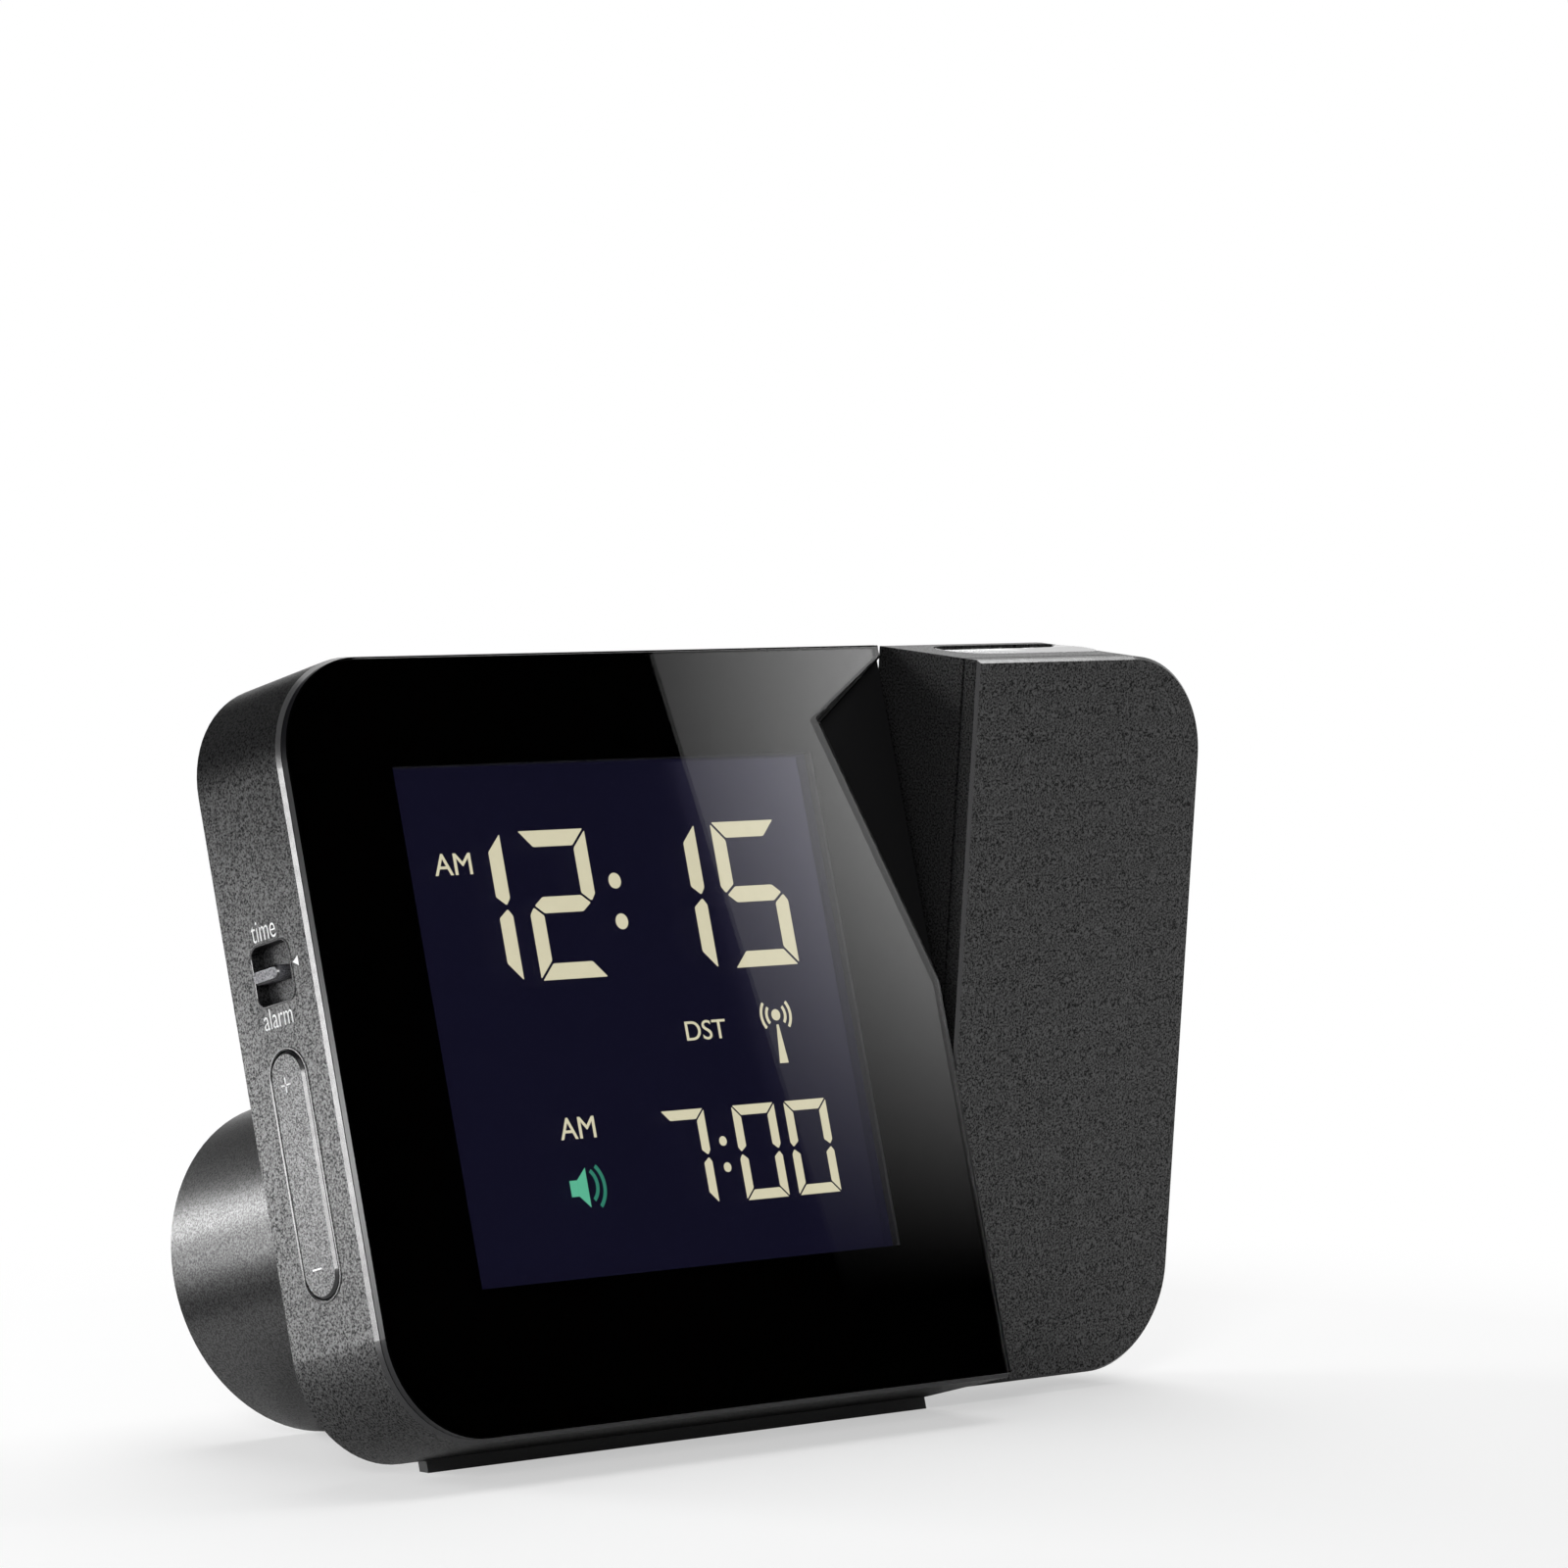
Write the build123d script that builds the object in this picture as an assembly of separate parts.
# Radio-controlled alarm clock with a turning projector arm, in millimetres.
#
# The pieces are drawn in the closed clock's own frame: x runs to the right from the case's left
# face, y runs back from the front face of the lens, z runs up from the case's underside.
# The whole clock then leans back on its foot, and the arm turns forward about its pivot.
# The written frame has +Z up and its origin in the middle of the foot's underside on the table.

import os
from math import cos, radians, sin

from build123d import *

# Stance
lean_back = 15.0
arm_rest_turn = 19.8

# Case
case_width = 90.6
case_height = 85.7
case_depth = 14.4
case_wall = 1.6
case_corner = 12.0
case_edge = 0.4
deck_thickness = 1.2

# Front lens and the black mask behind it
lens_thickness = 1.0
lens_inset = 0.35
lens_right_inset = 0.85
lens_bevel = 0.2
mask_gap = 0.05
mask_thickness = 0.15
notch_top_drop = 1.8
notch_bottom = 46.2
notch_reach = 11.2
notch_tip_drop = 9.3

# Display
window_left = 14.95
window_bottom = 16.15
window_right = 13.85
window_top = 12.45
bezel_border = 0.9
bezel_bevel = 0.4
lcd_border = 2.0
lcd_thickness = 1.8
backlight_thickness = 2.0
contact_strip_height = 1.7
display_gap = 0.05
frame_rib = 1.0

# Main board
board_thickness = 1.2
board_left = 12.5
board_right_inset = 10.6
board_below_window = 8.15
board_above_window = 8.35
board_post_radius = 1.9
board_post_inset = 5.5
board_post_height_inset = 2.4
board_screw_length = 5.0
chip_side = 10.0
chip_thickness = 1.6
chip_x = 40.0
chip_z = 30.0

# Rear cover and the pod that the clock leans on
cover_thickness = 1.8
cover_gap = 0.1
pod_length = 70.9
pod_radius = 18.75
pod_centre_z = 25.75
pod_edge = 0.5
pod_wall = 1.8
pod_draft = 0.8

# Foot strip
foot_thickness = 1.0
foot_overlap = 0.4
foot_drop = 1.375
foot_rise = 3.0
foot_left = 15.4
foot_right_inset = 0.6

# Screws
boss_radius = 2.6
boss_inset = 8.3
boss_right_inset = 6.4
screw_radius = 1.1
screw_head_radius = 2.1
screw_head_height = 1.2
screw_length = 9.0
screw_gap = 0.05
screw_sides = 12

# Keys
key_gap = 0.15
press_travel = 0.3
seat_gap = 0.05
tact_side = 6.0
tact_height = 3.5
tact_plunger_radius = 1.7
tact_plunger_height = 0.9
rocker_length = 26.7
rocker_width = 5.6
rocker_centre_y = 8.3
rocker_centre_z = 31.05
rocker_proud = 0.3
rocker_cap = 1.7
rocker_pin_radius = 0.8
rocker_pin_depth = 3.2
rocker_stem_half = 3.0
rocker_web_half = 2.6
rocker_hub_wall = 0.6
rocker_ear = 1.2
rocker_ear_half = 2.0
rocker_ear_wall = 1.0
rocker_pad_reach = 9.0
rocker_pad_height = 0.9
side_board_thickness = 0.8
side_board_bottom = 16.0
side_board_length = 46.0
slide_centre_y = 8.05
slide_centre_z = 52.85
slide_slot_width = 6.3
slide_slot_height = 6.4
slide_slot_corner = 1.2
slide_bar_length = 4.5
slide_bar_height = 1.6
slide_bar_corner = 0.7
slide_bar_proud = 0.4
slide_bar_edge = 0.2
slide_plate_width = 7.4
slide_plate_thickness = 0.5
slide_travel = 1.8
slide_tang_half = 0.8
slide_tang_depth = 0.8
switch_length = 9.0
snooze_length = 40.0
snooze_width = 7.0
snooze_centre_y = 8.4
snooze_flange = 0.8
snooze_stem_radius = 1.5
rear_key_radius = 3.2
rear_key_proud = 0.5
rear_key_edge = 0.25
rear_key_flange = 0.9
rear_key_stem_radius = 1.5
rear_key_first_x = 18.0
rear_key_pitch = 13.0
rear_key_count = 3
rear_key_drop = 21.7

# Sounder, inlet and antenna
sounder_radius = 9.5
sounder_height = 4.6
sounder_hole_radius = 1.9
sounder_clearance = 3.5
sounder_drop = 21.7
sound_slot_length = 12.4
sound_slot_width = 1.2
sound_slot_pitch = 2.6
sound_slot_count = 5
inlet_side = 8.4
inlet_right_inset = 16.1
inlet_lift = 5.5
inlet_nozzle_radius = 3.9
inlet_bore_radius = 2.85
inlet_bore_depth = 6.5
antenna_radius = 4.0
antenna_length = 50.0
antenna_y = 22.0
antenna_saddle = 2.0
coil_thickness = 0.9
coil_length = 14.0
coil_offset = 15.0

# Batteries and their bay
cell_radius = 5.25
cell_length = 43.4
cell_nub_radius = 1.9
cell_nub_length = 1.1
cell_gap = 0.3
contact_thickness = 0.4
contact_half = 4.2
spring_radius = 2.6
spring_wire = 0.5
spring_length = 3.2
bay_wall = 1.2
door_thickness = 1.6
door_margin = 2.2
door_corner = 4.0
door_gap = 0.15
door_round = 0.75
door_pin_radius = 0.5
door_pin_length = 0.8
door_notch_radius = 5.0
door_notch_depth = 1.0

# Hinge
pivot_y = 7.95
pivot_z = 41.9
shaft_radius = 3.6
shaft_bore = 1.8
running_gap = 0.05
bush_wall = 0.95
bush_flange_radius = 5.2
bush_flange = 0.4
washer_thickness = 0.5
clip_thickness = 0.6
clip_groove = 0.6
shaft_tail = 0.6
hinge_boss_radius = 5.7
hinge_boss_depth = 2.8
pivot_flange_radius = 4.8
pivot_flange = 1.2

# Projector arm
arm_gap = 0.5
arm_width = 37.5
arm_height = 84.6
arm_lift = 0.6
arm_thickness = 17.0
arm_corner = 12.0
arm_edge = 0.35
arm_back_edge = 0.6
arm_wall = 1.8
plate_rim = 2.25
plate_waist = 0.35
waist_inset = 0.5
plate_lip = 0.5
plate_lip_wall = 1.0
arm_boss_left_inset = 5.2
arm_boss_right_inset = 7.0
arm_boss_low_inset = 9.0
arm_boss_high_inset = 10.0

# Projector inside the arm
optic_offset_x = 16.5
optic_y = 9.4
port_y = 10.6
port_length = 23.4
port_width = 8.4
port_thickness = 1.2
port_sunk = 0.35
port_ledge = 0.9
port_gap = 0.1
led_board_z = 24.0
led_board_thickness = 1.2
led_board_length = 18.0
led_board_width = 10.6
led_radius = 2.5
led_height = 5.2
engine_length = 14.0
engine_front = 4.3
engine_height = 20.8
engine_bore = 4.4
condenser_z = 34.0
condenser_thickness = 3.0
glass_lcd_z = 41.5
glass_lcd_thickness = 1.4
glass_lcd_length = 12.0
glass_lcd_width = 9.0
sleeve_top = 68.0
sleeve_wall = 0.95
carrier_radius = 4.6
carrier_bore = 3.6
carrier_bottom = 50.0
carrier_length = 15.0
focus_lens_thickness = 3.2
focus_lens_inset = 1.0
focus_travel = 1.5
rack_width = 1.6
rack_half_length = 5.5
rack_reach = 7.5
rack_front = 8.6
pinion_radius = 2.0
pinion_gap = 0.1
pinion_length = 1.9
wheel_z = 57.5
wheel_proud = 0.5
wheel_width = 3.0
wheel_grooves = 24
wheel_groove_width = 0.5
wheel_groove_depth = 0.3
wheel_slot_gap = 0.4
axle_radius = 0.8
axle_ear = 1.3
axle_ear_half = 1.7

# Places that follow from the sizes above
front_of_case = lens_thickness + mask_gap + mask_thickness
back_of_case = front_of_case + case_depth
notch_top = case_height - notch_top_drop
notch_tip_height = case_height - notch_tip_drop
deck_back = front_of_case + deck_thickness
cover_front = back_of_case - cover_thickness
foot_front = back_of_case - foot_overlap
foot_back = back_of_case + foot_thickness
lean_cos = cos(radians(lean_back))
lean_sin = sin(radians(lean_back))
case_lift = foot_drop * lean_cos + foot_front * lean_sin
pod_low = pod_centre_z - pod_radius
pod_back = pod_edge + (case_lift + pod_low * lean_cos) / lean_sin
pod_centre_x = case_width / 2
foot_length = case_width - foot_left - foot_right_inset
window_width = case_width - window_left - window_right
window_height = case_height - window_bottom - window_top
window_x = window_left + window_width / 2
window_z = window_bottom + window_height / 2
lcd_front = deck_back + display_gap
backlight_front = lcd_front + lcd_thickness + display_gap
board_front = backlight_front + backlight_thickness + display_gap
board_back = board_front + board_thickness
board_right = case_width - board_right_inset
board_bottom = window_bottom - board_below_window
board_top = window_bottom + window_height + board_above_window
press_gap = press_travel + seat_gap
tact_top = board_back + tact_height + tact_plunger_height
side_tact_top = rocker_cap - rocker_proud + rocker_pad_height + press_gap
side_board_x = side_tact_top + tact_plunger_height + tact_height
slide_plate_x = case_wall + running_gap
slide_plate_back = slide_plate_x + slide_plate_thickness
switch_left = slide_plate_back + running_gap
snooze_centre_x = case_width / 2
rear_key_last_x = rear_key_first_x + rear_key_pitch * (rear_key_count - 1)
rear_key_z = case_height - rear_key_drop
sounder_x = rear_key_last_x + tact_side / 2 + sounder_clearance + sounder_radius
sounder_z = case_height - sounder_drop
inlet_x = case_width - inlet_right_inset
inlet_z = pod_centre_z + pod_radius + inlet_lift
cell_total = cell_length + cell_nub_length
bay_length = cell_total + spring_length + 2 * contact_thickness + 3 * seat_gap
bay_height = 4 * cell_radius + 3 * cell_gap
bay_left = pod_centre_x - bay_length / 2
bay_right = bay_left + bay_length
door_inner = pod_back - door_thickness
cell_y = door_inner - cell_gap - cell_radius
bay_front = cell_y - cell_radius - cell_gap
door_length = bay_length + 2 * door_margin
door_height = bay_height + 2 * door_margin
door_axis_y = pod_back - door_thickness / 2
door_axis_z = pod_centre_z + door_height / 2 - door_thickness / 2
bush_radius = shaft_radius + running_gap + bush_wall
hinge_boss_left = case_width - case_wall - hinge_boss_depth
washer_right = hinge_boss_left - bush_flange
clip_right = washer_right - washer_thickness - seat_gap
clip_left = clip_right - clip_thickness
shaft_left = clip_left - seat_gap - shaft_tail
arm_left = case_width + arm_gap
arm_right = arm_left + arm_width
arm_top = arm_lift + arm_height
arm_inner_back = arm_thickness - arm_wall
optic_x = arm_left + optic_offset_x
plate_back = plate_rim + plate_waist
engine_bottom = led_board_z + led_board_thickness
engine_top = engine_bottom + engine_height
sleeve_inner = carrier_radius + running_gap
sleeve_outer = sleeve_inner + sleeve_wall
carrier_top = carrier_bottom + carrier_length
axle_y = rack_front + rack_width + pinion_gap + pinion_radius
wheel_radius = arm_thickness + wheel_proud - axle_y
pinion_left = optic_x + rack_reach - rack_width
wheel_left = pinion_left + pinion_length
wheel_right = wheel_left + wheel_width


def front_plane(y):
    """Sketch plane across the clock: sketch x is x, sketch y is z."""
    return Plane(origin=(0, y, 0), x_dir=(1, 0, 0), z_dir=(0, -1, 0))


def side_plane(x):
    """Sketch plane along the clock's side: sketch x is y, sketch y is z."""
    return Plane(origin=(x, 0, 0), x_dir=(0, 1, 0), z_dir=(1, 0, 0))


def back_prism(sketch, y_from, y_to):
    """Solid that runs from y_from back to y_to."""
    return extrude(front_plane(y_from) * sketch, amount=y_from - y_to)


def side_prism(sketch, x_from, x_to):
    """Solid that runs from x_from right to x_to."""
    return extrude(side_plane(x_from) * sketch, amount=x_to - x_from)


def up_prism(sketch, z_from, z_to):
    """Solid that runs up from z_from to z_to."""
    return extrude(Pos(0, 0, z_from) * sketch, amount=z_to - z_from)


def block(x, y, z):
    """Box between two corners, each axis given as a pair."""
    centre = (sum(x) / 2, sum(y) / 2, sum(z) / 2)
    return Pos(*centre) * Box(x[1] - x[0], y[1] - y[0], z[1] - z[0])


def around(middle, half):
    return (middle - half, middle + half)


def back_rod(radius, x, z, y_from, y_to):
    return back_prism(Pos(x, z) * Circle(radius), y_from, y_to)


def side_rod(radius, y, z, x_from, x_to):
    return side_prism(Pos(y, z) * Circle(radius), x_from, x_to)


def up_rod(radius, x, y, z_from, z_to):
    return up_prism(Pos(x, y) * Circle(radius), z_from, z_to)


def case_outline(inset):
    """Case outline with rounded left corners and square right ones."""
    sheet = Rectangle(case_width - 2 * inset, case_height - 2 * inset)
    sheet = fillet(sheet.vertices().group_by(Axis.X)[0], case_corner - inset)
    return Pos(case_width / 2, case_height / 2) * sheet


def lens_outline(inset):
    """Lens outline with the V notch that shows the case's front beside the arm."""
    right = case_width - lens_right_inset
    left = lens_inset + inset
    height = case_height - 2 * (lens_inset + inset)
    sheet = Rectangle(right - inset - left, height)
    sheet = fillet(sheet.vertices().group_by(Axis.X)[0], case_corner - left)
    sheet = Pos((left + right - inset) / 2, case_height / 2) * sheet
    notch = Polygon(
        (right + 1, notch_top + (notch_top - notch_tip_height) / notch_reach),
        (right - notch_reach, notch_tip_height),
        (right, notch_bottom),
        (right + 1, notch_bottom),
        align=None,
    )
    if inset:
        notch = offset(notch, amount=inset, kind=Kind.INTERSECTION)
    return sheet - notch


def window_outline(border):
    sheet = Rectangle(window_width + 2 * border, window_height + 2 * border)
    return Pos(window_x, window_z) * sheet


def arm_outline(inset):
    """Arm outline with rounded right corners and square left ones."""
    sheet = Rectangle(arm_width - 2 * inset, arm_height - 2 * inset)
    sheet = fillet(sheet.vertices().group_by(Axis.X)[-1], arm_corner - inset)
    return Pos(arm_left + arm_width / 2, arm_lift + arm_height / 2) * sheet


def pod_solid():
    """Round-ended pod, drafted so that it narrows from the slab toward its back face."""
    far = pod_back - back_of_case
    near_radius = pod_radius + far * sin(radians(pod_draft))
    length = pod_length - 2 * pod_radius + 2 * near_radius
    plane = Plane(origin=(0, back_of_case, 0), x_dir=(-1, 0, 0), z_dir=(0, 1, 0))
    sheet = Pos(-pod_centre_x, pod_centre_z) * SlotOverall(length, 2 * near_radius)
    return extrude(plane * sheet, amount=far, taper=pod_draft)


def case_screw_places():
    right = case_width - boss_right_inset
    low, high = boss_inset, case_height - boss_inset
    return [(boss_inset, low), (boss_inset, high), (right, low), (right, high)]


def board_screw_places():
    left, right = board_left + board_post_inset, board_right - board_post_inset
    low, high = board_bottom + board_post_height_inset, board_top - board_post_height_inset
    return [(left, low), (left, high), (right, low), (right, high)]


def arm_screw_places():
    left, right = arm_left + arm_boss_left_inset, arm_right - arm_boss_right_inset
    low, high = arm_lift + arm_boss_low_inset, arm_top - arm_boss_high_inset
    return [(left, low), (left, high), (right, low), (right, high)]


def rear_key_places():
    return [rear_key_first_x + rear_key_pitch * i for i in range(rear_key_count)]


def cell_heights():
    """Heights of the two cells' axes."""
    return [pod_centre_z - cell_radius - cell_gap / 2, pod_centre_z + cell_radius + cell_gap / 2]


def back_screw(x, z, y_head, length):
    """Plain screw with few sides, its head's outer face at y_head and its shank forward."""
    neck = y_head - screw_head_height
    head = RegularPolygon(screw_head_radius, screw_sides)
    shank = RegularPolygon(screw_radius - screw_gap, screw_sides)
    return back_prism(Pos(x, z) * head, neck, y_head) + back_prism(Pos(x, z) * shank, y_head - length, neck)


def make_main_case():
    case = back_prism(case_outline(0), front_of_case, back_of_case)
    case = chamfer(case.faces().sort_by(Axis.Y)[0].edges(), case_edge)
    case -= back_prism(case_outline(case_wall), deck_back, back_of_case + 1)
    case -= back_prism(window_outline(bezel_border + cover_gap), 0, deck_back + 1)
    frame = window_outline(lcd_border + cover_gap + frame_rib) - window_outline(lcd_border + cover_gap)
    case += back_prism(frame, deck_back, board_front - display_gap)
    for x, z in case_screw_places():
        case += back_rod(boss_radius, x, z, deck_back, cover_front)
        case -= back_rod(screw_radius, x, z, back_of_case - screw_length - 1, back_of_case)
    for x, z in board_screw_places():
        case += back_rod(board_post_radius, x, z, deck_back, board_front)
        case -= back_rod(screw_radius, x, z, deck_back, board_front + 1)
    slot = RectangleRounded(slide_slot_width, slide_slot_height, slide_slot_corner)
    case -= side_prism(Pos(slide_centre_y, slide_centre_z) * slot, -1, case_wall + 1)
    hole = SlotOverall(rocker_length + 2 * key_gap, rocker_width + 2 * key_gap, rotation=90)
    case -= side_prism(Pos(rocker_centre_y, rocker_centre_z) * hole, -1, case_wall + 1)
    ear_x = (case_wall, rocker_pin_depth + rocker_pin_radius + rocker_ear_wall)
    ear_z = around(rocker_centre_z, rocker_ear_half)
    for side in (-1, 1):
        y = rocker_centre_y + side * (rocker_stem_half + key_gap + rocker_ear / 2)
        case += block(ear_x, around(y, rocker_ear / 2), ear_z)
    pin_half = rocker_stem_half + key_gap + rocker_ear
    pin_reach = around(rocker_centre_y, pin_half)
    case -= back_rod(rocker_pin_radius + running_gap, rocker_pin_depth, rocker_centre_z, *pin_reach)
    opening = SlotOverall(snooze_length + 2 * key_gap, snooze_width + 2 * key_gap)
    opening = Pos(snooze_centre_x, snooze_centre_y) * opening
    case -= up_prism(opening, case_height - case_wall - 1, case_height + 1)
    case += side_rod(hinge_boss_radius, pivot_y, pivot_z, hinge_boss_left, case_width - case_wall)
    case -= side_rod(bush_radius, pivot_y, pivot_z, hinge_boss_left - 1, case_width + 1)
    return case


def make_rear_cover():
    cover = back_prism(case_outline(case_wall + cover_gap), cover_front, back_of_case)
    pod = pod_solid()
    cover += chamfer(pod.faces().sort_by(Axis.Y)[-1].edges(), pod_edge)
    hollow = SlotOverall(pod_length - 2 * pod_wall, 2 * (pod_radius - pod_wall))
    cover -= back_prism(Pos(pod_centre_x, pod_centre_z) * hollow, cover_front - 1, bay_front - bay_wall)
    bay_z = around(pod_centre_z, bay_height / 2)
    cover -= block((bay_left, bay_right), (bay_front, pod_back + 1), bay_z)
    door = Rectangle(door_length + 2 * door_gap, door_height + 2 * door_gap)
    door = fillet(door.vertices().group_by(Axis.Y)[0], door_corner + door_gap)
    cover -= back_prism(Pos(pod_centre_x, pod_centre_z) * door, door_inner - seat_gap, pod_back + 1)
    pin_half = door_length / 2 + door_pin_length + running_gap
    pins = around(pod_centre_x, pin_half)
    cover -= side_rod(door_pin_radius + running_gap, door_axis_y, door_axis_z, *pins)
    notch = Pos(pod_centre_x, pod_centre_z - door_height / 2) * Circle(door_notch_radius)
    cover -= back_prism(notch, pod_back - door_notch_depth, pod_back + 1)
    for end in (-1, 1):
        x = pod_centre_x + end * (antenna_length / 2 - antenna_saddle)
        rib_x = around(x, antenna_saddle / 2)
        rib = block(rib_x, (antenna_y, bay_front), around(pod_centre_z, antenna_radius))
        cover += rib - side_rod(antenna_radius + running_gap, antenna_y, pod_centre_z, *rib_x)
    for x, z in case_screw_places():
        cover -= back_rod(screw_radius, x, z, cover_front - 1, back_of_case)
        sink = back_of_case - screw_head_height
        cover -= back_rod(screw_head_radius + cover_gap, x, z, sink, back_of_case + 1)
    for x in rear_key_places():
        cover -= back_rod(rear_key_radius + key_gap, x, rear_key_z, cover_front - 1, back_of_case + 1)
    for i in range(sound_slot_count):
        z = sounder_z + (i - (sound_slot_count - 1) / 2) * sound_slot_pitch
        slot = Pos(sounder_x, z) * Rectangle(sound_slot_length, sound_slot_width)
        cover -= back_prism(slot, cover_front - 1, back_of_case + 1)
    cover -= back_rod(inlet_nozzle_radius + cover_gap, inlet_x, inlet_z, cover_front - 1, back_of_case + 1)
    return cover


def make_foot_strip():
    """Angled strip on the slab's lower back edge, cut level with the table."""
    level_front = -foot_drop
    level_back = level_front + foot_width_y() * lean_sin / lean_cos
    profile = Polygon(
        (foot_front, level_front),
        (foot_back, level_back),
        (foot_back, foot_rise),
        (back_of_case, foot_rise),
        (back_of_case, 0),
        (foot_front, 0),
        align=None,
    )
    strip = side_prism(profile, foot_left, foot_left + foot_length)
    upper = strip.edges().filter_by(Axis.X).group_by(Axis.Z)[-1]
    return fillet(upper.sort_by(Axis.Y)[-1], foot_thickness / 2)


def foot_width_y():
    return foot_back - foot_front


def make_front_lens():
    lens = back_prism(lens_outline(0), 0, lens_thickness)
    return chamfer(lens.faces().sort_by(Axis.Y)[0].edges(), lens_bevel)


def make_display_mask():
    return back_prism(lens_outline(lens_bevel) - window_outline(0), lens_thickness + mask_gap, front_of_case)


def make_display_bezel():
    bezel = back_prism(window_outline(bezel_border) - window_outline(0), front_of_case, deck_back)
    inner = bezel.faces().sort_by(Axis.Y)[0].inner_wires()[0].edges()
    return chamfer(inner, bezel_bevel)


def make_lcd_panel():
    return back_prism(window_outline(lcd_border), lcd_front, lcd_front + lcd_thickness)


def make_backlight_panel():
    return back_prism(window_outline(0), backlight_front, backlight_front + backlight_thickness)


def make_contact_strips():
    back = board_front - display_gap
    half = window_width / 2 - lcd_border
    lower = (window_bottom - lcd_border, window_bottom - lcd_border + contact_strip_height)
    upper_top = window_bottom + window_height + lcd_border
    strips = []
    for z in (lower, (upper_top - contact_strip_height, upper_top)):
        strips.append(block(around(window_x, half), (lcd_front + lcd_thickness, back), z))
    return strips


def make_main_board():
    x = ((board_left + board_right) / 2, (board_bottom + board_top) / 2)
    sheet = Pos(*x) * Rectangle(board_right - board_left, board_top - board_bottom)
    board = back_prism(sheet, board_front, board_back)
    for x, z in board_screw_places():
        board -= back_rod(screw_radius, x, z, board_front - 1, board_back + 1)
    return board


def make_board_screws():
    head = board_back + screw_head_height
    return [back_screw(x, z, head, board_screw_length) for x, z in board_screw_places()]


def make_case_screws():
    return [back_screw(x, z, back_of_case, screw_length) for x, z in case_screw_places()]


def make_controller_chip():
    half = chip_side / 2
    return block(around(chip_x, half), (board_back, board_back + chip_thickness), around(chip_z, half))


def tact_to_back(x, z):
    body = block(around(x, tact_side / 2), (board_back, board_back + tact_height), around(z, tact_side / 2))
    return body + back_rod(tact_plunger_radius, x, z, board_back + tact_height, tact_top)


def make_setting_switches():
    return [tact_to_back(x, rear_key_z) for x in rear_key_places()]


def make_setting_key(x):
    seat = cover_front - seat_gap
    flange = back_rod(rear_key_radius + rear_key_flange, x, rear_key_z, seat - rear_key_flange, seat)
    cap = back_rod(rear_key_radius, x, rear_key_z, seat, back_of_case + rear_key_proud)
    cap = chamfer(cap.edges().group_by(Axis.Y)[-1], rear_key_edge)
    stem = back_rod(rear_key_stem_radius, x, rear_key_z, tact_top + press_gap, seat - rear_key_flange)
    return flange + cap + stem


def make_side_board():
    width = (side_board_x, side_board_x + side_board_thickness)
    height = (side_board_bottom, side_board_bottom + side_board_length)
    return block(width, (deck_back, cover_front - cover_gap), height)


def make_key_switches():
    switches = []
    for side in (-1, 1):
        z = rocker_centre_z + side * rocker_pad_reach
        half = tact_side / 2
        left = side_board_x - tact_height
        body = block((left, side_board_x), around(rocker_centre_y, half), around(z, half))
        switches.append(body + side_rod(tact_plunger_radius, rocker_centre_y, z, side_tact_top, left))
    return switches


def make_rocker_key():
    cap_back = rocker_cap - rocker_proud
    cap = SlotOverall(rocker_length, rocker_width, rotation=90)
    key = side_prism(Pos(rocker_centre_y, rocker_centre_z) * cap, -rocker_proud, cap_back)
    key = chamfer(key.faces().sort_by(Axis.X)[0].edges(), rocker_proud)
    stem_half = around(rocker_centre_y, rocker_stem_half)
    hub = rocker_pin_radius + rocker_hub_wall
    web = (cap_back, rocker_pin_depth)
    key += block(web, around(rocker_centre_y, rocker_web_half), around(rocker_centre_z, hub))
    key += back_rod(hub, rocker_pin_depth, rocker_centre_z, *stem_half)
    pins = around(rocker_centre_y, rocker_stem_half + key_gap + rocker_ear)
    key += back_rod(rocker_pin_radius, rocker_pin_depth, rocker_centre_z, *pins)
    for side in (-1, 1):
        z = rocker_centre_z + side * rocker_pad_reach
        key += side_rod(tact_plunger_radius, rocker_centre_y, z, cap_back, cap_back + rocker_pad_height)
    return key


def make_slide_knob():
    bar_front = slide_centre_y + slide_slot_width / 2 - running_gap
    bar = RectangleRounded(slide_bar_length, slide_bar_height, slide_bar_corner)
    bar = Pos(bar_front - slide_bar_length / 2, slide_centre_z) * bar
    knob = side_prism(bar, -slide_bar_proud, slide_plate_x)
    knob = chamfer(knob.faces().sort_by(Axis.X)[0].edges(), slide_bar_edge)
    plate_half = slide_slot_height / 2 + slide_travel + running_gap
    plate_y = around(slide_centre_y, slide_plate_width / 2)
    knob += block((slide_plate_x, slide_plate_back), plate_y, around(slide_centre_z, plate_half))
    tang_x = (slide_plate_back, switch_left + slide_tang_depth)
    tang_half = slide_tang_half
    return knob + block(tang_x, around(slide_centre_y, tang_half), around(slide_centre_z, tang_half))


def make_side_switch():
    length = around(slide_centre_z, switch_length / 2)
    body = block((switch_left, side_board_x), around(slide_centre_y, tact_side / 2), length)
    depth = (switch_left - 1, switch_left + slide_tang_depth + running_gap)
    half = slide_tang_half + running_gap
    return body - block(depth, around(slide_centre_y, half), around(slide_centre_z, half + slide_travel))


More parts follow.
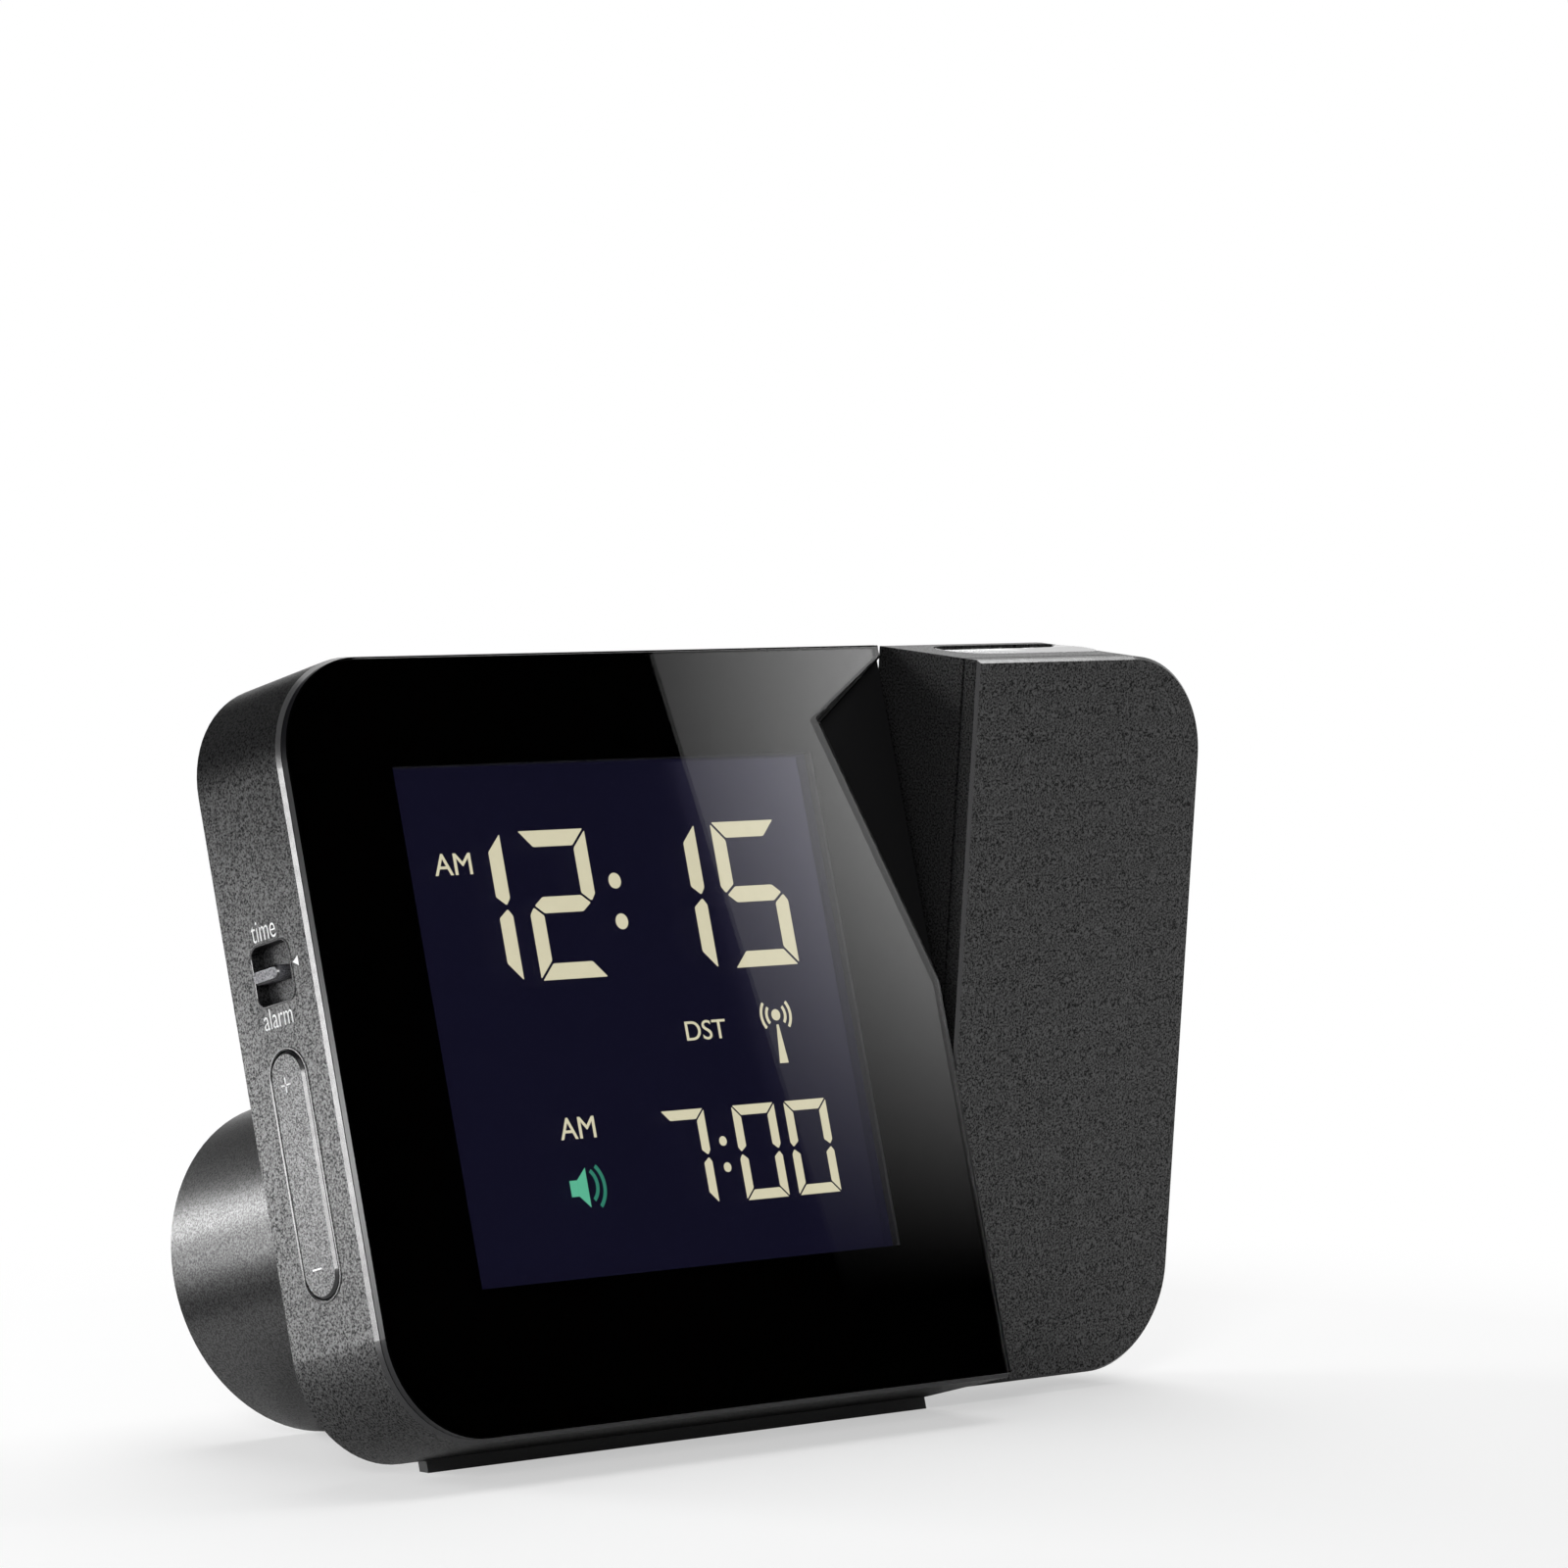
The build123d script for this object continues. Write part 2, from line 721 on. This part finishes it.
def make_snooze_bar():
    seat = case_height - case_wall - seat_gap
    cap = Pos(snooze_centre_x, snooze_centre_y) * SlotOverall(snooze_length, snooze_width)
    rim = SlotOverall(snooze_length + 2 * snooze_flange, snooze_width + 2 * snooze_flange)
    bar = up_prism(cap, seat, case_height)
    bar = chamfer(bar.faces().sort_by(Axis.Z)[-1].edges(), case_edge)
    bar += up_prism(Pos(snooze_centre_x, snooze_centre_y) * rim, seat - snooze_flange, seat)
    stem_y = board_back + tact_side / 2
    low = snooze_plunger_top() + press_gap
    return bar + up_rod(snooze_stem_radius, snooze_centre_x, stem_y, low, seat - snooze_flange)


def snooze_plunger_top():
    return board_top - board_post_height_inset + tact_plunger_height


def make_snooze_switch():
    top = board_top - board_post_height_inset
    y = board_back + tact_side / 2
    half = around(snooze_centre_x, tact_side / 2)
    body = block(half, (board_back, board_back + tact_side), (top - tact_height, top))
    return body + up_rod(tact_plunger_radius, snooze_centre_x, y, top, snooze_plunger_top())


def make_sounder():
    can = back_rod(sounder_radius, sounder_x, sounder_z, board_back, board_back + sounder_height)
    hole = (board_back + sounder_height / 2, cover_front)
    return can - back_rod(sounder_hole_radius, sounder_x, sounder_z, *hole)


def make_dc_socket():
    half = inlet_side / 2
    socket = block(around(inlet_x, half), (board_back, cover_front - cover_gap), around(inlet_z, half))
    mouth = back_of_case - seat_gap
    socket += back_rod(inlet_nozzle_radius, inlet_x, inlet_z, cover_front - cover_gap, mouth)
    return socket - back_rod(inlet_bore_radius, inlet_x, inlet_z, mouth - inlet_bore_depth, mouth)


def make_antenna_rod():
    return side_rod(antenna_radius, antenna_y, pod_centre_z, *around(pod_centre_x, antenna_length / 2))


def make_antenna_coils():
    coils = []
    for end in (-1, 1):
        x = around(pod_centre_x + end * coil_offset, coil_length / 2)
        outer = side_rod(antenna_radius + coil_thickness, antenna_y, pod_centre_z, *x)
        coils.append(outer - side_rod(antenna_radius, antenna_y, pod_centre_z, *x))
    return coils


def cell_start(i):
    """Left end of a cell's can: the lower cell's spring is on the left, the upper one's on the right."""
    if i == 0:
        return bay_left + contact_thickness + spring_length + 2 * seat_gap
    return bay_left + contact_thickness + seat_gap + cell_nub_length


def make_battery_cells():
    cells = []
    for i, z in enumerate(cell_heights()):
        left = cell_start(i)
        right = left + cell_length
        can = side_rod(cell_radius, cell_y, z, left, right)
        nub = (right, right + cell_nub_length) if i == 0 else (left - cell_nub_length, left)
        cells.append(can + side_rod(cell_nub_radius, cell_y, z, *nub))
    return cells


def make_battery_springs():
    springs = []
    for i, z in enumerate(cell_heights()):
        left = bay_left + contact_thickness if i == 0 else bay_right - contact_thickness - spring_length
        reach = (left, left + spring_length)
        tube = side_rod(spring_radius, cell_y, z, *reach)
        springs.append(tube - side_rod(spring_radius - spring_wire, cell_y, z, *reach))
    return springs


def make_battery_contacts():
    plates = []
    for x in ((bay_left, bay_left + contact_thickness), (bay_right - contact_thickness, bay_right)):
        for z in cell_heights():
            plates.append(block(x, around(cell_y, contact_half), around(z, contact_half)))
    return plates


def make_battery_door():
    door = Rectangle(door_length, door_height)
    door = fillet(door.vertices().group_by(Axis.Y)[0], door_corner)
    door = back_prism(Pos(pod_centre_x, pod_centre_z) * door, door_inner, pod_back)
    door = fillet(door.edges().filter_by(Axis.X).group_by(Axis.Z)[-1], door_round)
    pins = around(pod_centre_x, door_length / 2 + door_pin_length)
    return door + side_rod(door_pin_radius, door_axis_y, door_axis_z, *pins)


def make_hinge_bush():
    bush = side_rod(bush_radius, pivot_y, pivot_z, hinge_boss_left, case_width)
    bush += side_rod(bush_flange_radius, pivot_y, pivot_z, washer_right, hinge_boss_left)
    return bush - side_rod(shaft_radius + running_gap, pivot_y, pivot_z, washer_right - 1, case_width + 1)


def make_hinge_washer():
    reach = (washer_right - washer_thickness, washer_right)
    ring = side_rod(bush_flange_radius, pivot_y, pivot_z, *reach)
    return ring - side_rod(shaft_radius + running_gap, pivot_y, pivot_z, *reach)


def make_hinge_clip():
    ring = side_rod(bush_flange_radius, pivot_y, pivot_z, clip_left, clip_right)
    ring -= side_rod(shaft_radius - clip_groove + running_gap, pivot_y, pivot_z, clip_left, clip_right)
    mouth = shaft_radius - clip_groove - running_gap
    below = (pivot_z - 2 * bush_flange_radius, pivot_z)
    return ring - block((clip_left, clip_right), around(pivot_y, mouth / 2), below)


def make_arm_pivot():
    inside = arm_left + arm_wall
    shaft = side_rod(shaft_radius, pivot_y, pivot_z, shaft_left, inside)
    groove = side_rod(shaft_radius + 1, pivot_y, pivot_z, clip_left - seat_gap, clip_right + seat_gap)
    core = side_rod(shaft_radius - clip_groove, pivot_y, pivot_z, clip_left - seat_gap, clip_right + seat_gap)
    shaft -= groove - core
    shaft += side_rod(pivot_flange_radius, pivot_y, pivot_z, inside, inside + pivot_flange)
    return shaft - side_rod(shaft_bore, pivot_y, pivot_z, shaft_left - 1, inside + pivot_flange + 1)


def make_arm_rear_shell():
    shell = back_prism(arm_outline(0), plate_back, arm_thickness)
    shell = chamfer(shell.faces().sort_by(Axis.Y)[-1].edges(), arm_back_edge)
    shell -= back_prism(arm_outline(arm_wall), plate_back - 1, arm_inner_back)
    shell -= side_rod(shaft_radius + screw_gap, pivot_y, pivot_z, arm_left - 1, arm_left + arm_wall + 1)
    ledge_z = arm_top - port_sunk - port_thickness
    shell += up_prism(port_outline(port_ledge), ledge_z - port_ledge, arm_top - arm_wall)
    shell -= up_prism(port_outline(port_gap), ledge_z, arm_top + 1)
    shell -= up_prism(port_outline(-port_ledge), ledge_z - 2 * port_ledge, arm_top)
    for x, z in arm_screw_places():
        shell -= back_rod(screw_radius, x, z, arm_inner_back - 1, arm_thickness)
        head = arm_thickness - screw_head_height
        shell -= back_rod(screw_head_radius + cover_gap, x, z, head, arm_thickness + 1)
    chord = (wheel_radius**2 - (arm_inner_back - axle_y) ** 2) ** 0.5
    slot_x = (wheel_left - wheel_slot_gap, wheel_right + wheel_slot_gap)
    shell -= block(slot_x, (arm_inner_back - 1, arm_thickness + 1), around(wheel_z, chord + wheel_slot_gap))
    ear_left = wheel_right + wheel_slot_gap
    ear_y = (axle_y - axle_ear_half, arm_inner_back)
    shell += block((ear_left, ear_left + axle_ear), ear_y, around(wheel_z, axle_ear_half))
    return shell - side_rod(axle_radius + running_gap, axle_y, wheel_z, ear_left - 1, ear_left + axle_ear + 1)


def port_outline(border):
    """Outline of the window that the projector shines through, seen from above the arm."""
    return Pos(optic_x, port_y) * SlotOverall(port_length + 2 * border, port_width + 2 * border)


def make_arm_front_plate():
    plate = back_prism(arm_outline(0), 0, plate_rim)
    plate = chamfer(plate.faces().sort_by(Axis.Y)[0].edges(), arm_edge)
    plate += back_prism(arm_outline(waist_inset), plate_rim, plate_back)
    lip = arm_outline(arm_wall + cover_gap) - arm_outline(arm_wall + cover_gap + plate_lip_wall)
    plate += back_prism(lip, plate_back, plate_back + plate_lip)
    for x, z in arm_screw_places():
        plate += back_rod(boss_radius, x, z, plate_back, arm_inner_back)
        plate -= back_rod(screw_radius, x, z, plate_back, arm_inner_back + 1)
    return plate


def make_arm_screws():
    return [back_screw(x, z, arm_thickness, screw_length) for x, z in arm_screw_places()]


def make_arm_window():
    top = arm_top - port_sunk
    return up_prism(port_outline(0), top - port_thickness, top)


def make_led_board():
    size = (around(optic_x, led_board_length / 2), around(optic_y, led_board_width / 2))
    return block(*size, (led_board_z, engine_bottom))


def make_projector_led():
    dome = led_height - led_radius
    led = up_rod(led_radius, optic_x, optic_y, engine_bottom, engine_bottom + dome)
    return led + Pos(optic_x, optic_y, engine_bottom + dome) * Sphere(led_radius, arc_size1=0)


def make_projector_tube():
    x = around(optic_x, engine_length / 2)
    tube = block(x, (engine_front, arm_inner_back), (engine_bottom, engine_top))
    tube += up_rod(sleeve_outer, optic_x, optic_y, engine_top, sleeve_top)
    ear_y = around(axle_y, axle_ear_half)
    ear_x = (optic_x + sleeve_inner - 1, pinion_left - pinion_gap)
    tube += block(ear_x, ear_y, around(wheel_z, axle_ear_half))
    tube -= up_rod(engine_bore, optic_x, optic_y, engine_bottom - 1, engine_top)
    tube -= up_rod(sleeve_inner, optic_x, optic_y, engine_top, sleeve_top + 1)
    half = glass_lcd_length / 2 + cover_gap
    slot_y = (engine_front - 1, optic_y + glass_lcd_width / 2 + cover_gap)
    tube -= block(around(optic_x, half), slot_y, around(glass_lcd_z, glass_lcd_thickness / 2 + cover_gap))
    rack_y = (rack_front - cover_gap, rack_front + rack_width + cover_gap)
    slot_z = around(wheel_z, rack_half_length + focus_travel + cover_gap)
    tube -= block((optic_x, optic_x + 2 * sleeve_outer), rack_y, slot_z)
    return tube - side_rod(axle_radius + running_gap, axle_y, wheel_z, ear_x[1] - axle_ear, ear_x[1] + 1)


def make_projection_lcd():
    size = (around(optic_x, glass_lcd_length / 2), around(optic_y, glass_lcd_width / 2))
    return block(*size, around(glass_lcd_z, glass_lcd_thickness / 2))


def lens_disc(radius, z, thickness):
    """Plano-convex lens with its flat side down."""
    rim = thickness / 3
    rise = thickness - rim
    ball = (radius**2 + rise**2) / (2 * rise)
    cylinder = up_rod(radius, optic_x, optic_y, z, z + thickness)
    return cylinder & (Pos(optic_x, optic_y, z + thickness - ball) * Sphere(ball))


def make_condenser_lens():
    return lens_disc(engine_bore - running_gap, condenser_z, condenser_thickness)


def make_lens_carrier():
    carrier = up_rod(carrier_radius, optic_x, optic_y, carrier_bottom, carrier_top)
    rack_z = around(wheel_z, rack_half_length)
    rack = block((optic_x, optic_x + rack_reach), (rack_front, rack_front + rack_width), rack_z)
    carrier += rack
    return carrier - up_rod(carrier_bore, optic_x, optic_y, carrier_bottom - 1, carrier_top + 1)


def make_focus_lens():
    z = carrier_top - focus_lens_thickness - focus_lens_inset
    return lens_disc(carrier_bore - running_gap / 2, z, focus_lens_thickness)


def make_focus_wheel():
    wheel = side_rod(wheel_radius, axle_y, wheel_z, wheel_left, wheel_right)
    groove = Rectangle(2 * wheel_groove_depth, wheel_groove_width)
    rim = PolarLocations(wheel_radius, wheel_grooves)
    grooves = Sketch() + [spot * groove for spot in rim]
    wheel -= side_prism(Pos(axle_y, wheel_z) * grooves, wheel_left - 1, wheel_right + 1)
    wheel += side_rod(pinion_radius, axle_y, wheel_z, pinion_left, wheel_left)
    axle_left = pinion_left - pinion_gap - axle_ear + seat_gap
    axle_right = wheel_right + wheel_slot_gap + axle_ear
    return wheel + side_rod(axle_radius, axle_y, wheel_z, axle_left, axle_right)


def lean(piece):
    """Leaned back, with the origin under the foot."""
    foot_x = foot_left + foot_length / 2
    middle = (foot_front + foot_back) / 2
    level = -foot_drop + foot_width_y() / 2 * lean_sin / lean_cos
    forward = middle * lean_cos + level * lean_sin
    return Pos(-foot_x, -forward, case_lift) * Rot(-lean_back, 0, 0) * piece


def turn(piece):
    """Turned forward with the arm from its closed place."""
    return Pos(0, pivot_y, pivot_z) * Rot(arm_rest_turn, 0, 0) * Pos(0, -pivot_y, -pivot_z) * piece


def write(name, piece, turned=False):
    """Write one node, which may be a list of separate solids."""
    solids = piece if isinstance(piece, list) else [piece]
    moved = [lean(turn(solid)) if turned else lean(solid) for solid in solids]
    shape = Compound(children=moved) if len(moved) > 1 else moved[0]
    export_step(shape, f"parts/{name}.step")


os.makedirs("parts", exist_ok=True)

write("main_case", make_main_case())
write("rear_cover", make_rear_cover())
write("foot_strip", make_foot_strip())
write("front_lens", make_front_lens())
write("display_mask", make_display_mask())
write("display_bezel", make_display_bezel())
write("lcd_panel", make_lcd_panel())
write("backlight_panel", make_backlight_panel())
write("contact_strips", make_contact_strips())
write("main_board", make_main_board())
write("board_screws", make_board_screws())
write("case_screws", make_case_screws())
write("controller_chip", make_controller_chip())
write("setting_switches", make_setting_switches())
write("side_board", make_side_board())
write("key_switches", make_key_switches())
write("rocker_key", make_rocker_key())
write("slide_knob", make_slide_knob())
write("side_switch", make_side_switch())
write("snooze_bar", make_snooze_bar())
write("snooze_switch", make_snooze_switch())
write("sounder", make_sounder())
write("dc_socket", make_dc_socket())
write("antenna_rod", make_antenna_rod())
write("antenna_coils", make_antenna_coils())
write("battery_cells", make_battery_cells())
write("battery_springs", make_battery_springs())
write("battery_contacts", make_battery_contacts())
write("battery_door", make_battery_door())
write("hinge_bush", make_hinge_bush())
write("hinge_washer", make_hinge_washer())
for number, key_x in enumerate(rear_key_places(), start=1):
    write(f"setting_key_{number}", make_setting_key(key_x))

write("hinge_clip", make_hinge_clip(), turned=True)
write("arm_pivot", make_arm_pivot(), turned=True)
write("arm_rear_shell", make_arm_rear_shell(), turned=True)
write("arm_front_plate", make_arm_front_plate(), turned=True)
write("arm_screws", make_arm_screws(), turned=True)
write("arm_window", make_arm_window(), turned=True)
write("led_board", make_led_board(), turned=True)
write("projector_led", make_projector_led(), turned=True)
write("projector_tube", make_projector_tube(), turned=True)
write("projection_lcd", make_projection_lcd(), turned=True)
write("condenser_lens", make_condenser_lens(), turned=True)
write("lens_carrier", make_lens_carrier(), turned=True)
write("focus_lens", make_focus_lens(), turned=True)
write("focus_wheel", make_focus_wheel(), turned=True)
